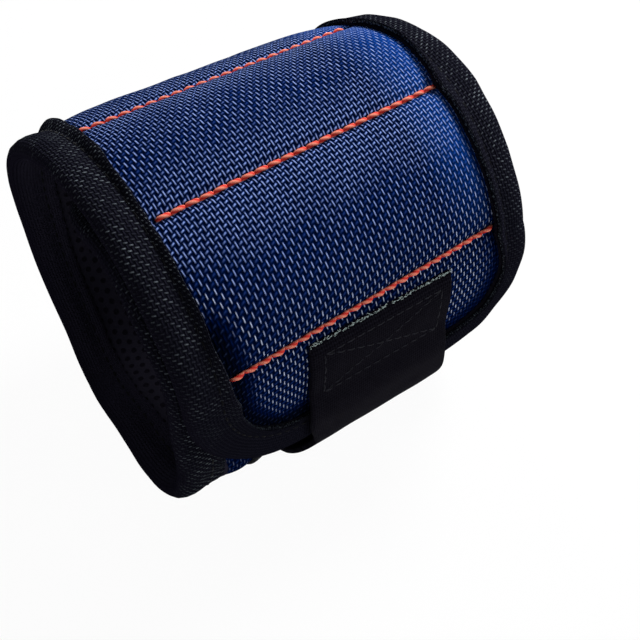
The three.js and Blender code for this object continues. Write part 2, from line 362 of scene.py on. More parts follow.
def sheet_piece(name, across, along, top, bottom, material, place=on_band, pull=None):
    """A closed sheet of cloth from grids of places and levels."""
    points = np.concatenate([place(across, along, top), place(across, along, bottom)])
    spot = np.stack([across, along, np.zeros_like(across) if pull is None else pull], axis=-1)
    faces = sheet_faces(*across.shape)
    return make_piece(name, points, faces, np.concatenate([spot, spot]), material)


def tube_faces(count, size, base=0):
    """Faces of a closed tube through rings of points, which are numbered from a base."""
    faces = []
    last = base + (count - 1) * size
    for i in range(base, last, size):
        for j in range(size):
            k = (j + 1) % size
            faces.append((i + j, i + k, i + size + k, i + size + j))
    return faces + [tuple(range(base, base + size)), tuple(reversed(range(last, last + size)))]


def half_width(from_end, inset):
    """Half the band's width near a rounded end, a given inset inside its edge."""
    radius = CORNER_RADIUS - inset
    depth = np.clip(radius - (np.asarray(from_end, float) - inset), 0, radius)
    return BAND_WIDTH / 2 - inset - radius + np.sqrt(radius ** 2 - depth ** 2)


def end_rows(inset, until, count):
    """Distances from a rounded end, closer together where the corner turns fast."""
    turn = np.linspace(0, 1, count)
    return inset + (until - inset) * turn ** 2


# Materials

# Yarn spacing across and along each cloth in mm, and the spacing of the mesh's holes. The hook tape
# is drawn coarse enough for its weave to show: a real one may be finer
NYLON_YARN = (0.915, 1.25)
TAPE_YARN = (0.75, 0.8)
HOOK_YARN = (0.55, 0.7)
MESH_PITCH = 2.6
# How far the twist of the yarns swings the painted highlight line on a float, in radians of its width
LENGTHWISE_LEAN = 0.2
CROSSWISE_LEAN = -0.6

# A MapRange node is fed a value, the range that it takes and the one that it gives, if not 0 to 1


def linear(code):
    """An sRGB hex colour as the linear values that the shader takes."""
    values = [int(code[i:i + 2], 16) / 255 for i in (1, 3, 5)]
    return [v / 12.92 if v <= 0.04045 else ((v + 0.055) / 1.055) ** 2.4 for v in values] + [1.0]


def add(tree, kind, feed=(), operation=None, out=0, **settings):
    """One shader node, fed by values or by other nodes' outputs. Gives the output asked for."""
    made = tree.nodes.new("ShaderNode" + kind)
    if operation:
        made.operation = operation
    for key, value in settings.items():
        setattr(made, key, value)
    for socket, value in feed.items() if isinstance(feed, dict) else enumerate(feed):
        if isinstance(value, bpy.types.NodeSocket):
            tree.links.new(value, made.inputs[socket])
        else:
            made.inputs[socket].default_value = value
    return made.outputs[out] if made.outputs else None


def new_material(name):
    """An empty material and its node tree."""
    material = bpy.data.materials.new(name)
    material.use_nodes = True
    material.node_tree.nodes.clear()
    return material, material.node_tree


def finish_surface(tree, colour, relief, sockets):
    """Ends a tree with its shader. The relief is a height, its strength and its depth in mm."""
    height, strength, depth = relief
    bump = add(tree, "Bump", {"Height": height, "Strength": strength, "Distance": depth * MM})
    shader = add(tree, "BsdfPrincipled", {"Base Color": colour, "Normal": bump, **sockets})
    add(tree, "OutputMaterial", [shader])


def cloth_place(tree, wander, wander_mm):
    """Place on the flat cloth in mm, with the threads wandering a little as woven ones do."""
    spot = add(tree, "Attribute", attribute_name="flat_mm", out="Vector")
    cloud = add(tree, "TexNoise", {"Vector": spot, "Scale": 1 / wander, "Detail": 1.0}, out="Color")
    centred = add(tree, "VectorMath", [cloud, (0.5, 0.5, 0.5)], "SUBTRACT")
    shift = add(tree, "VectorMath", {0: centred, "Scale": wander_mm}, "SCALE")
    return spot, add(tree, "VectorMath", [spot, shift], "ADD")


def plain_weave(tree, place, across_mm, along_mm):
    """Yarn height, the painted highlight lines on lengthwise and crosswise floats, and chance values
    for them.

    Each yarn passes over one crossing yarn and under the next, so its floats are two yarns apart
    and lie between those of its neighbours.
    """
    grid = add(tree, "VectorMath", [place, (across_mm, along_mm, 1.0)], "DIVIDE")
    parts = add(tree, "SeparateXYZ", [grid], out=slice(3))
    domes, lines, chances = [], [], []
    for beside, onward, start, lean in (
            (parts[0], parts[1], 0.5, LENGTHWISE_LEAN), (parts[1], parts[0], 1.5, CROSSWISE_LEAN)):
        yarn = add(tree, "Math", [beside], "FLOOR")
        odd = add(tree, "Math", [yarn, 2.0], "FLOORED_MODULO")
        moved = add(tree, "Math", [onward, odd], "ADD")
        step = add(tree, "Math", [moved, 0.5, start / 2], "MULTIPLY_ADD")
        number = add(tree, "Math", [step], "FLOOR")
        spot = add(tree, "CombineXYZ", [yarn, number, start])
        chances.append(add(tree, "TexWhiteNoise", [spot], noise_dimensions="3D", out="Value"))
        turns = [add(tree, "Math", [part, 2 * math.pi, -math.pi], "MULTIPLY_ADD")
                 for part in (beside, step)]
        swing = add(tree, "Math", [turns[1]], "SINE")
        leaning = add(tree, "Math", [swing, lean, turns[0]], "MULTIPLY_ADD")
        crown, fall = [add(tree, "Math", [turn], "COSINE") for turn in (leaning, turns[1])]
        round_off = add(tree, "MapRange", [crown, -1.0])
        dive = add(tree, "MapRange", [fall, -1.0])
        domes.append(add(tree, "Math", [round_off, dive], "MULTIPLY"))
        # The painted highlight line along each float's crown
        narrow = add(tree, "MapRange", [crown, 0.2, 0.95])
        reach = add(tree, "MapRange", [fall, -0.35, 0.6])
        lines.append(add(tree, "Math", [narrow, reach], "MULTIPLY"))
    return add(tree, "Math", domes, "MAXIMUM"), lines, chances


def woven_nylon():
    """Coarse plain-woven filament nylon: dark navy yarns, each with a painted highlight line on its
    crown, and painted shade in the gaps between them.

    The third number of the cloth place, named its pull and highest at the seams, says where light
    and shade are painted. Where it is high the crosswise yarns get painted highlight lines too.
    Where it is negative only the lengthwise yarns get them, as small pale painted dashes. Below -1,
    where the cloth turns down under the tape, these fade, and below -1.5 the cloth is painted
    darker, as painted shade. Towards the right edge, where the pull is not negative, the cloth is
    painted a lighter, fuller blue, as painted light where it turns to the lamps.
    """
    material, tree = new_material("woven_nylon_blue")
    spot, place = cloth_place(tree, 9.0, 0.5)
    height, (lengthwise, crosswise), chances = plain_weave(tree, place, *NYLON_YARN)
    # Painted shade: darker in the gaps between the yarns
    body = add(tree, "MixRGB", [height, linear("#000820"), linear("#01205e")])
    cloud = add(tree, "TexNoise", {"Vector": spot, "Scale": 1 / 7.0, "Detail": 2.0})
    parts = add(tree, "SeparateXYZ", [spot], out=slice(3))
    across, pull = parts[0], parts[2]
    # Painted highlight lines on the crosswise yarns, where the pull and a noise are high
    lift = add(tree, "Math", [pull, cloud], "ADD")
    lift = add(tree, "MapRange", [lift, 0.45, 1.1, 0.05, 1.0])
    slack = add(tree, "MapRange", [pull, 0.0, -1.0])
    # Painted light: towards the right edge the cloth is painted a lighter, fuller blue
    painted_light_right = add(tree, "MapRange", [across, 20.0, 33.0, 0.0, 0.7])
    taut = add(tree, "Math", [1.0, slack], "SUBTRACT")
    painted_light_right = add(tree, "Math", [taut, painted_light_right], "MULTIPLY")
    body = add(tree, "MixRGB", [painted_light_right, body, linear("#0b4196")])
    # Painted shade: below a pull of -1.5 the cloth is painted darker
    painted_shade = add(tree, "MapRange", [pull, -1.5, -2.6, 0.0, 0.9])
    body = add(tree, "MixRGB", [painted_shade, body, linear("#04060e")])
    thin = add(tree, "Math", [crosswise, 2.2], "POWER")
    crosswise = add(tree, "Math", [thin, lift], "MULTIPLY")
    colour = add(tree, "MixRGB", [crosswise, body, linear("#7f97d6")])
    # Painted highlight lines on the lengthwise yarns: pale and slim where the pull is negative,
    # fading out as it falls from -1 to -2
    slim = add(tree, "Math", [slack, 1.4, 1.0], "MULTIPLY_ADD")
    lengthwise = add(tree, "Math", [lengthwise, slim], "POWER")
    strong = add(tree, "MapRange", [chances[0], 0.0, 1.0, 0.65, 1.0])
    painted_highlight_fade = add(tree, "MapRange", [pull, -1.0, -2.0, 1.0, 0.0])
    strong = add(tree, "Math", [strong, painted_highlight_fade], "MULTIPLY")
    lengthwise = add(tree, "Math", [lengthwise, strong], "MULTIPLY")
    loose = add(tree, "Math", [slack, 2.0], "POWER")
    line = add(tree, "MixRGB", [loose, linear("#8ca0d8"), linear("#dce6ff")])
    colour = add(tree, "MixRGB", [lengthwise, colour, line])
    finish_surface(tree, colour, (height, 1.0, 0.4), {"Roughness": 0.35, "Specular IOR Level": 0.0})
    return material


def ribbed_tape():
    """Black ribbed polyester tape: close rows of short dull floats, with painted glints on the tape's
    face and painted shade in the gaps between floats.

    The first number of the tape's place is the distance from its inner edge, which is frayed.
    Past the rolled edge, on the wrist side, the tape gets no painted glints and is painted flatter
    and then lighter, as painted light in the shaded inside of the band. The third number says how
    strong the painted glints are.
    """
    material, tree = new_material("ribbed_tape_black")
    spot, place = cloth_place(tree, 5.0, 0.4)
    height, lines, chances = plain_weave(tree, place, *TAPE_YARN)
    # Painted shade: darker in the gaps between the floats
    body = add(tree, "MixRGB", [height, linear("#0e0e16"), linear("#1e1e28")])
    parts = add(tree, "SeparateXYZ", [spot], out=slice(3))
    inward, shine = parts[0], parts[2]
    # Past the rolled edge the painted glints stop and the colour is painted flat, then lighter under
    # the band, as painted light in its shaded inside
    face = add(tree, "MapRange", [inward, 13.0, 9.0])
    body = add(tree, "MixRGB", [face, linear("#1a1823"), body])
    under = add(tree, "MapRange", [inward, 14.0, 17.0])
    body = add(tree, "MixRGB", [under, body, linear("#2b2936")])
    # Painted glints on the face, as strong as the third place number allows, in patches and at random
    face = add(tree, "Math", [face, shine], "MULTIPLY")
    cloud = add(tree, "TexNoise", {"Vector": spot, "Scale": 1 / 4.0, "Detail": 3.0})
    cloud = add(tree, "MapRange", [cloud, 0.36, 0.68, 0.08, 1.0])
    chance = add(tree, "MapRange", [chances[1], 0.0, 1.0, 0.15, 1.0])
    painted_glint = add(tree, "Math", [cloud, chance], "MULTIPLY")
    painted_glint = add(tree, "Math", [painted_glint, face], "MULTIPLY")
    painted_glint_line = add(tree, "Math", [lines[1], painted_glint], "MULTIPLY")
    colour = add(tree, "MixRGB", [painted_glint_line, body, linear("#7f888f")])
    edge = add(tree, "MapRange", [inward, 1.0, 0.3])
    fluff = add(tree, "TexNoise", {"Vector": spot, "Scale": 1 / 0.45, "Detail": 2.0})
    fluff = add(tree, "MapRange", [fluff, 0.52, 0.66])
    fluff = add(tree, "Math", [fluff, edge], "MULTIPLY")
    colour = add(tree, "MixRGB", [fluff, colour, linear("#59636a")])
    finish_surface(tree, colour, (height, 1.0, 0.3), {"Roughness": 0.4, "Specular IOR Level": 0.0})
    return material


def hook_tape_back():
    """Back of woven hook tape: a tight fine weave, nearly matt black."""
    material, tree = new_material("hook_tape_black")
    spot, place = cloth_place(tree, 4.0, 0.3)
    height = plain_weave(tree, place, *HOOK_YARN)[0]
    shade = add(tree, "TexNoise", {"Vector": spot, "Scale": 1 / 2.5, "Detail": 4.0})
    bright = add(tree, "MixRGB", [shade, linear("#0b0a11"), linear("#1f1e26")])
    # Painted shade: darker in the gaps between the yarns
    colour = add(tree, "MixRGB", [height, linear("#040308"), bright])
    finish_surface(tree, colour, (height, 0.6, 0.12), {"Roughness": 0.8, "Specular IOR Level": 0.01})
    return material


def brushed_loop():
    """Brushed loop pile: a soft black nap that scatters light and shows no threads."""
    material, tree = new_material("brushed_loop_black")
    spot = add(tree, "Attribute", attribute_name="flat_mm", out="Vector")
    nap = add(tree, "TexNoise", {"Vector": spot, "Scale": 1 / 0.7, "Detail": 5.0})
    patch = add(tree, "TexNoise", {"Vector": spot, "Scale": 1 / 8.0, "Detail": 2.0})
    mixed = add(tree, "Math", [nap, patch], "MULTIPLY")
    share = add(tree, "MapRange", [mixed, 0.12, 0.42])
    colour = add(tree, "MixRGB", [share, linear("#070708"), linear("#25262a")])
    finish_surface(tree, colour, (nap, 0.9, 0.4), {
        "Roughness": 0.95, "Specular IOR Level": 0.04, "Sheen Weight": 0.03, "Sheen Roughness": 0.6})
    return material


def spacer_mesh():
    """Knitted spacer mesh: rows of round holes in a matt black face."""
    material, tree = new_material("spacer_mesh_black")
    spot = add(tree, "Attribute", attribute_name="flat_mm", out="Vector")
    total = None
    for angle in (0, 60, 120):
        way = (math.cos(math.radians(angle)), math.sin(math.radians(angle)), 0)
        reach = add(tree, "VectorMath", [spot, way], "DOT_PRODUCT", out="Value")
        turn = add(tree, "Math", [reach, 2 * math.pi / MESH_PITCH], "MULTIPLY")
        wave = add(tree, "Math", [turn], "COSINE")
        if total is not None:
            wave = add(tree, "Math", [total, wave], "ADD")
        total = wave
    hole = add(tree, "MapRange", [total, 1.6, 0.6])
    yarn = add(tree, "TexNoise", {"Vector": spot, "Scale": 1 / 0.5, "Detail": 3.0})
    face = add(tree, "MixRGB", [yarn, linear("#211f2a"), linear("#302e3b")])
    # Painted shade: the holes are painted darker than the face
    colour = add(tree, "MixRGB", [hole, linear("#14121b"), face])
    finish_surface(tree, colour, (hole, 0.7, 0.5), {"Roughness": 0.9, "Specular IOR Level": 0.04})
    return material


def sewing_thread(name, dark, light):
    """Twisted polyester sewing thread: two plies, each with a painted highlight on its crown and
    painted shade in the groove between them.
    """
    material, tree = new_material(name)
    spot = add(tree, "Attribute", attribute_name="flat_mm", out="Vector")
    share = add(tree, "SeparateXYZ", [spot])
    # Painted highlight on each ply's crown and painted shade in its groove, from the first place
    # number
    colour = add(tree, "MixRGB", [share, linear(dark), linear(light)])
    fibre = add(tree, "TexNoise", {"Vector": spot, "Scale": 6.0, "Detail": 2.0})
    finish_surface(tree, colour, (fibre, 0.4, 0.08), {"Roughness": 0.5, "Specular IOR Level": 0.03})
    return material


def plated_magnet():
    """Nickel-plated magnet: a plain grey metal, faintly brushed."""
    material, tree = new_material("nickel_plated_magnet")
    spot = add(tree, "TexCoord", out="Object")
    streak = add(tree, "Mapping", {0: spot, 3: (20.0, 900.0, 900.0)})
    grain = add(tree, "TexNoise", {"Vector": streak, "Scale": 1.0, "Detail": 3.0})
    rough = add(tree, "MapRange", [grain, 0.0, 1.0, 0.25, 0.42])
    colour = add(tree, "MixRGB", [grain, linear("#8d9093"), linear("#a9acaf")])
    shader = add(tree, "BsdfPrincipled", {"Base Color": colour, "Roughness": rough, "Metallic": 1.0})
    add(tree, "OutputMaterial", [shader])
    return material


nylon = woven_nylon()
tape = ribbed_tape()
hook = hook_tape_back()
pile = brushed_loop()
mesh_cloth = spacer_mesh()
red_thread = sewing_thread("polyester_thread_red", "#d4171a", "#ff9a80")
black_thread = sewing_thread("polyester_thread_black", "#030304", "#101014")
worn_thread = sewing_thread("polyester_thread_worn_black", "#0e0e12", "#2b2b33")
grey_fray = sewing_thread("frayed_yarn_grey", "#849694", "#cddedc")
magnet_metal = plated_magnet()


# Camera, lamps and the white around the band

CAMERA_PLACE = Vector((-0.08496, -0.13094, 0.18790))
CAMERA_AZIMUTH = -37.87
CAMERA_ELEVATION = 47.48
CAMERA_ROLL = 1.70
CAMERA_LENS = 51.75

camera = bpy.data.objects.new("camera", bpy.data.cameras.new("camera"))
bpy.context.scene.collection.objects.link(camera)
turn, rise = math.radians(CAMERA_AZIMUTH), math.radians(CAMERA_ELEVATION)
back = Vector((math.sin(turn) * math.cos(rise), -math.cos(turn) * math.cos(rise), math.sin(rise)))
facing = (-back).to_track_quat("-Z", "Y").to_matrix()
camera.rotation_euler = (facing @ Matrix.Rotation(math.radians(CAMERA_ROLL), 3, "Z")).to_euler()
camera.location = CAMERA_PLACE
camera.data.lens = CAMERA_LENS
camera.data.clip_start = 0.005
bpy.context.scene.camera = camera
bpy.context.scene.view_settings.view_transform = "Standard"

ROLL_MIDDLE = Vector((0, 0, 0.042))
for name, place, size, power in (
        ("key_light", (0.29, 0.06, 0.36), 0.16, 2.4),
        ("front_light", (0.26, -0.40, 0.22), 0.16, 0.55),
        ("left_light", (-0.42, -0.20, 0.20), 0.30, 0.25),
        ("back_light", (0.05, 0.55, 0.34), 0.30, 1.0)):
    lamp = bpy.data.lights.new(name, "AREA")
    lamp.size = size
    lamp.energy = power
    holder = bpy.data.objects.new(name, lamp)
    bpy.context.scene.collection.objects.link(holder)
    holder.location = place
    holder.rotation_euler = (ROLL_MIDDLE - holder.location).to_track_quat("-Z", "Y").to_euler()


def shown_white(tree):
    """1 for rays from the camera or off gloss and glass, which see plain white."""
    rays = [add(tree, "LightPath", out=f"Is {kind} Ray")
            for kind in ("Camera", "Glossy", "Transmission")]
    seen = add(tree, "Math", rays[:2], "ADD")
    return add(tree, "Math", [seen, rays[2]], "ADD", use_clamp=True)


world = bpy.data.worlds.new("studio")
bpy.context.scene.world = world
world.use_nodes = True
tree = world.node_tree
tree.nodes.clear()
soft = add(tree, "Background", [linear("#eef2f6"), 0.12])
white = add(tree, "Background", [linear("#ffffff"), 1.0])
sky = add(tree, "MixShader", [shown_white(tree), soft, white])
add(tree, "OutputWorld", [sky])


# Cloth over the magnets

# How finely the sheets are divided
COLUMN_STEP = 0.6
POCKET_ROWS = 45
END_GRID = (46, 120)
LOOP_GRID = (50, 100)
PAD_GRID = (44, 41)
LINING_GRID = (50, 60)
LINING_END_ROWS = 60


def swell(across, share):
    """Shape of a filled pocket: full in the middle, drawn in at its stitching and bindings."""
    wide = np.clip(1 - (np.abs(across) / STITCHED_HALF) ** SIDE_SQUARENESS, 0, 1)
    return wide ** SIDE_BLUNTNESS * arch(share)


def pocket_swell(across, along):
    """Swell of the pockets anywhere on the band, 0 on its other panels."""
    number, share = panel_share(along)
    return np.where(np.isin(number, POCKETS), swell(across, share), 0)


def cover_level(across, along, seams, swollen, seed):
    """Level of the outer cloth, with the dips at its stitching and soft wrinkles."""
    level = np.full(across.shape, COVER_TOP)
    if swollen:
        share = panel_share(np.clip(along, seams[0] + HAIR, seams[-1] - HAIR))[1]
        waves = uneven(across, along, COVER_WAVES, seed)
        wrinkles = uneven(across, along, COVER_WRINKLES, seed + 7.3)
        level = level + swell(across, share) * (POCKET_CROWN + waves + wrinkles)
    for seam in seams:
        away = np.abs(along - seam)
        level = level - SEAM_DIP * np.exp(-(away / SEAM_DIP_WIDTH) ** 2)
        pucker = np.cos(2 * math.pi * across / STITCH_PITCH) * np.exp(-away / STITCH_PUCKER_REACH)
        wrinkles = uneven(across, along, SEAM_WRINKLES, seed + 3) * np.exp(-away / SEAM_WRINKLE_REACH)
        level = level + STITCH_PUCKER * pucker + wrinkles
    return level


columns = np.arange(-CLOTH_HALF, CLOTH_HALF + COLUMN_STEP / 2, COLUMN_STEP)

for number in POCKETS:
    seams = (seam_at[number], seam_at[number + 1])
    rows = np.linspace(*seams, POCKET_ROWS)
    along, across = np.meshgrid(rows, columns, indexing="ij")
    top = cover_level(across, along, seams, True, float(number))
    # The pull places the nylon's painted light: painted crosswise highlights near the upper seam and,
    # weaker, the lower one; on the first pocket only pale painted dashes low down, fading beside the
    # left tape, with painted shade there
    pull = np.exp(-((seams[1] - along) / SEAM_HIGHLIGHT_REACH) ** 2)
    if number == 1:
        loose = np.clip(1 - (along - seams[0]) / PALE_DASH_REACH, 0, 1)
        beside = np.clip(1 - (across + OPEN_HALF) / FADE_REACH, 0, 1)
        shade = np.clip(1 - (across + OPEN_HALF) / SHADE_REACH, 0, 1)
        pull = pull - loose - np.clip(2 * loose, 0, 1) * (beside + shade)
    else:
        pull = pull + LOW_SEAM_HIGHLIGHT * np.exp(-((along - seams[0]) / LOW_SEAM_HIGHLIGHT_REACH) ** 2)
    cover = sheet_piece(f"pocket_cover_{number}", across, along, top, top - COVER_THICKNESS, nylon,
                        place=on_cover, pull=pull)
    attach(cover, f"pocket_panel_{number}")
    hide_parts(f"pocket_{number}_fabric")
    magnet_slots = frame["nodes"][f"pocket_{number}_magnet"].data.materials
    magnet_slots.clear()
    magnet_slots.append(magnet_metal)


# Plain cloth at both ends

def bend_over(piece, line, length, bodies):
    """Bakes a piece's transform into its mesh. It looks up the place on its line and the bodies, but
    bends nothing.
    """
    point, way = line.at(length)
    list(bodies)
    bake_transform(piece)


def blend_at_seam(piece, seam):
    """Hands a piece, its seam's place and the two panels there to bend_over, which only bakes it in
    place.
    """
    bend_over(piece, band_line, seam_at[seam], PANEL_BODIES[seam - 1:seam + 1])


def rounded_grid(rows, inset, count):
    """Places between the rounded ends of the band, a given inset inside its edge."""
    from_end = np.minimum(rows, BAND_LENGTH - rows)
    half = half_width(from_end, inset)
    side = np.linspace(-1, 1, count)
    return np.outer(half, side), np.outer(rows, np.ones(count))


def end_area(length, inset):
    """Flat area of a piece with one rounded end, in square metres."""
    rows = np.linspace(inset, length, 400)
    wide = 2 * half_width(rows, inset)
    return float(((wide[1:] + wide[:-1]) / 2 * np.diff(rows)).sum()) * MM * MM


rows = end_rows(CLOTH_EDGE, seam_at[1], END_GRID[0])
across, along = rounded_grid(rows, CLOTH_EDGE, END_GRID[1])
top = cover_level(across, along, (seam_at[1],), False, 21.0)
# The end cover shows only pale painted dashes, fading beside the tape, with painted shade beside the
# left tape
inside = np.minimum(half_width(along, BINDING_WIDTH) - np.abs(across), along - BINDING_WIDTH)
fade_reach = np.where(across < 0, FADE_REACH, RIGHT_FADE_REACH)
shade = np.where(across < 0, np.clip(1 - inside / SHADE_REACH, 0, 1), 0)
cover = sheet_piece("end_cover", across, along, top, top - COVER_THICKNESS, nylon, place=on_cover,
                    pull=-1 - np.clip(1 - inside / fade_reach, 0, 1) - shade)
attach(cover, "end_panel")
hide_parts("end_fabric")
end_area(END_LENGTH, CLOTH_EDGE)

loop_cuts = [LOOP_START, *middle_at[LOOP_SEAM + 1:-1], BAND_LENGTH]
PAD_GAP = 0.3
PAD_RIM = 0.3
PAD_SQUARENESS = 14


def cut_rows(start, end, inset, count):
    """Rows from one cut to the next, or to the rounded loop end."""
    if end < BAND_LENGTH:
        return np.linspace(start, end, count)
    return BAND_LENGTH - end_rows(inset, BAND_LENGTH - start, count)[::-1]


for number, (start, end) in enumerate(zip(loop_cuts, loop_cuts[1:])):
    seam = LOOP_SEAM + 1 + number
    rows = cut_rows(start, end, CLOTH_EDGE, LOOP_GRID[0])
    across, along = rounded_grid(rows, CLOTH_EDGE, LOOP_GRID[1])
    level = COVER_TOP + uneven(across, along, LOOP_COVER_WAVES, seed=31.0)
    level = level - SEAM_DIP * np.exp(-((along - LOOP_START) / SEAM_DIP_WIDTH) ** 2)
    # The loop end's cloth gets dimmed painted highlights and some painted shade
    cover = sheet_piece(f"loop_cover_{number + 1}", across, along, level, level - COVER_THICKNESS,
                        nylon, pull=np.full(across.shape, LOOP_PAINTED_SHADE))
    blend_at_seam(cover, seam)
    panels = [number + 2] + ([1] if number == 0 else [])
    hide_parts(*[f"loop_{panel}_fabric" for panel in panels])
    cut = rows[-1] - rows[0]
    area = end_area(cut, CLOTH_EDGE) if end == BAND_LENGTH else None

    start = max(start, LOOP_START + PAD_LEAD)
    inset = BINDING_WIDTH + PAD_GAP
    rows = cut_rows(start, end, inset, PAD_GRID[0])
    half = np.minimum(PAD_WIDTH / 2, half_width(np.minimum(rows, BAND_LENGTH - rows), inset))
    side = np.sin(np.linspace(-1, 1, PAD_GRID[1]) * math.pi / 2)
    across, along = np.outer(half, side), np.outer(rows, np.ones(len(side)))
    rounding = np.sqrt(np.clip(1 - np.abs(side) ** PAD_SQUARENESS, 0, 1))[None, :]
    top = PAD_BOTTOM + PAD_RIM + (PAD_TOP - PAD_BOTTOM - PAD_RIM) * rounding
    top = top + uneven(across, along, PAD_WAVES, seed=41.0)
    pad = sheet_piece(f"loop_pad_{number + 1}", across, along, top,
                      np.full(across.shape, PAD_BOTTOM), pile)
    blend_at_seam(pad, seam)
    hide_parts(*[f"loop_{panel}_pad" for panel in panels])


# Mesh lining on the wrist side

# The lining and the tape are cut in the middle of the panels, so that each piece spans one seam
layer_cuts = [0.0, *middle_at[1:-1], BAND_LENGTH]


def seam_owner(seam):
    """Name of the panel after a seam, as its solids have it."""
    return f"pocket_{seam}" if seam in POCKETS else f"loop_{seam - len(POCKETS)}"


for seam, (start, end) in enumerate(zip(layer_cuts, layer_cuts[1:]), start=1):
    if seam == 1:
        rows = end_rows(CLOTH_EDGE, end, LINING_END_ROWS)
    else:
        rows = cut_rows(start, end, CLOTH_EDGE, LINING_GRID[0])
    across, along = rounded_grid(rows, CLOTH_EDGE, LINING_GRID[1])
    top = LINING_TOP - LINING_SWELL * pocket_swell(across, along)
    top = top + uneven(across, along, LINING_WAVES, seed=51.0)
    lining = sheet_piece(f"lining_{seam}", across, along, top, top - LINING_THICKNESS, mesh_cloth)
    blend_at_seam(lining, seam)
    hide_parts(f"{seam_owner(seam)}_lining", *(["end_lining"] if seam == 1 else []))
    cut = rows[-1] - rows[0]
    rounded = seam in (1, len(SEAM_JOINTS))
    end_area(cut, CLOTH_EDGE) if rounded else None


# Binding tape rolled over the edge: inset from the edge and level, round the section

OUTER_SECTION = [
    (11.0, 0.75), (10.9, 1.4), (10.4, 1.75), (9.4, 1.7), (8.5, 1.4), (7.6, 1.15), (6.7, 1.22),
    (5.5, 1.42), (4.0, 1.5), (2.5, 1.3), (1.3, 0.8), (0.6, 0.0), (0.4, -0.9), (0.65, -1.8),
    (1.4, -2.5), (2.6, -2.9), (4.1, -3.0), (5.6, -2.75), (6.8, -2.45), (7.6, -2.3), (8.6, -2.45),
    (9.6, -2.6), (10.5, -2.55), (11.0, -2.3)]
INNER_SECTION = [
    (11.0, -1.95), (7.5, -1.85), (2.2, -1.9), (1.1, -0.7), (2.2, 0.52), (7.5, 0.5), (11.0, 0.56)]
# How far the tape's inner edge stands off the cloth, along the band, on its left and right side
STAND_STOPS = (66.0, 86.0, 100.0, 112.0, 216.0, 227.0, 243.0, 252.0)
LEFT_STAND = (0.0, 0.4, 0.7, 0.7, 0.0, -1.5, -1.5, 0.0)
RIGHT_STAND = (0.9, 0.9, 0.2, 0.0, 0.0, 0.0, 0.0, 0.0)
# On the right side the tape's painted glints are taken out from this inset inwards, as painted shade
# where its inner edge lies in the shade of its roll
SHADE_FROM = 6.0
SHADE_WIDTH = 2.0
SHADE_DEPTH = 0.9
# How much wider the tape was folded over, along the band, on its left and right side
TRIM_STOPS = (0.0, 10.0, 24.0, 32.5, 40.0, 66.0, 74.0, 90.0, 100.0, 216.0, 227.0, 243.0, 252.0)
LEFT_TRIM = (-1.0, -0.8, 0.2, -1.2, -1.8, -1.9, -1.8, -0.8, -0.6, -0.6, 1.0, 1.0, -0.6)
RIGHT_TRIM = (-2.0, -2.0, -1.6, -0.6, -0.2, -0.2, -1.7, -2.4, -2.8, -2.8, -2.8, -2.8, -2.8)
# Along the tab end the tape's painted glints are weaker, growing to full from the first to the second
# of these places
SHINE_FROM = 12.0
SHINE_FULL = 60.0
# How uneven the roll and the inner edge of the tape are, and how long their ripples
ROLL_RIPPLE = 0.3
ROLL_REACH = 5.0
EDGE_RIPPLE = 0.35
RIPPLE_LENGTH = 7.0
SWING_LENGTH = 17.0
# Under the tab the tape is pressed down to this level
PRESSED_LEVEL = 1.25
PRESSED_MARGIN = 1.5
section = np.array(OUTER_SECTION + INNER_SECTION)
section_reach = run_of(section)
OUTER_COUNT = len(OUTER_SECTION)
STATION_STEP = 0.9


def straight_edge(side, start, end):
    """Edge path along one side: across, along, and the way into the band."""
    count = max(2, round(abs(end - start) / STATION_STEP) + 1)
    path = np.zeros((count, 4))
    path[:, 0] = side * BAND_WIDTH / 2
    path[:, 1] = np.linspace(start, end, count)
    path[:, 2] = -side
    return path


def rounded_edge(start, end_sign):
    """Edge path from one side round an end of the band and back along the other side."""
    half = BAND_WIDTH / 2
    turn_at = CORNER_RADIUS if end_sign < 0 else BAND_LENGTH - CORNER_RADIUS
    parts = [straight_edge(1, start, turn_at)]
    angles = np.linspace(0, math.pi / 2, round(CORNER_RADIUS * math.pi / 2 / STATION_STEP))
    corner = np.zeros((len(angles), 4))
    corner[:, 0] = half - CORNER_RADIUS + CORNER_RADIUS * np.cos(angles)
    corner[:, 1] = turn_at + end_sign * CORNER_RADIUS * np.sin(angles)
    corner[:, 2] = -np.cos(angles)
    corner[:, 3] = -end_sign * np.sin(angles)
    parts.append(corner[1:])
    middle_count = round((BAND_WIDTH - 2 * CORNER_RADIUS) / STATION_STEP)
    across_part = np.zeros((middle_count, 4))
    across_part[:, 0] = np.linspace(half - CORNER_RADIUS, CORNER_RADIUS - half, middle_count)
    across_part[:, 1] = corner[-1, 1]
    across_part[:, 3] = -end_sign
    parts.append(across_part[1:-1])
    mirrored = np.concatenate(parts[:2])[::-1].copy()
    mirrored[:, [0, 2]] *= -1
    return np.concatenate([*parts, mirrored])


def binding_points(path, inset, level):
    """Places of the tape, lying on the filled pockets and pressed flat under the tab."""
    across = path[:, None, 0] + path[:, None, 2] * inset
    along = path[:, None, 1] + path[:, None, 3] * inset
    covered = (np.abs(across) < TAB_WIDTH / 2 + PRESSED_MARGIN) & (along < END_LENGTH / 2)
    level = np.where(covered, np.minimum(level, PRESSED_LEVEL), level)
    rise = np.where(level > BAND_MIDDLE, POCKET_CROWN, -LINING_SWELL)
    return across, along, level + pocket_swell(across, along) * rise


def side_mix(left, along, stops, left_values, right_values):
    """Values along the band, mixed from those of its left and its right side."""
    on_left, on_right = [np.interp(along, stops, values) for values in (left_values, right_values)]
    return left * on_left + (1 - left) * on_right


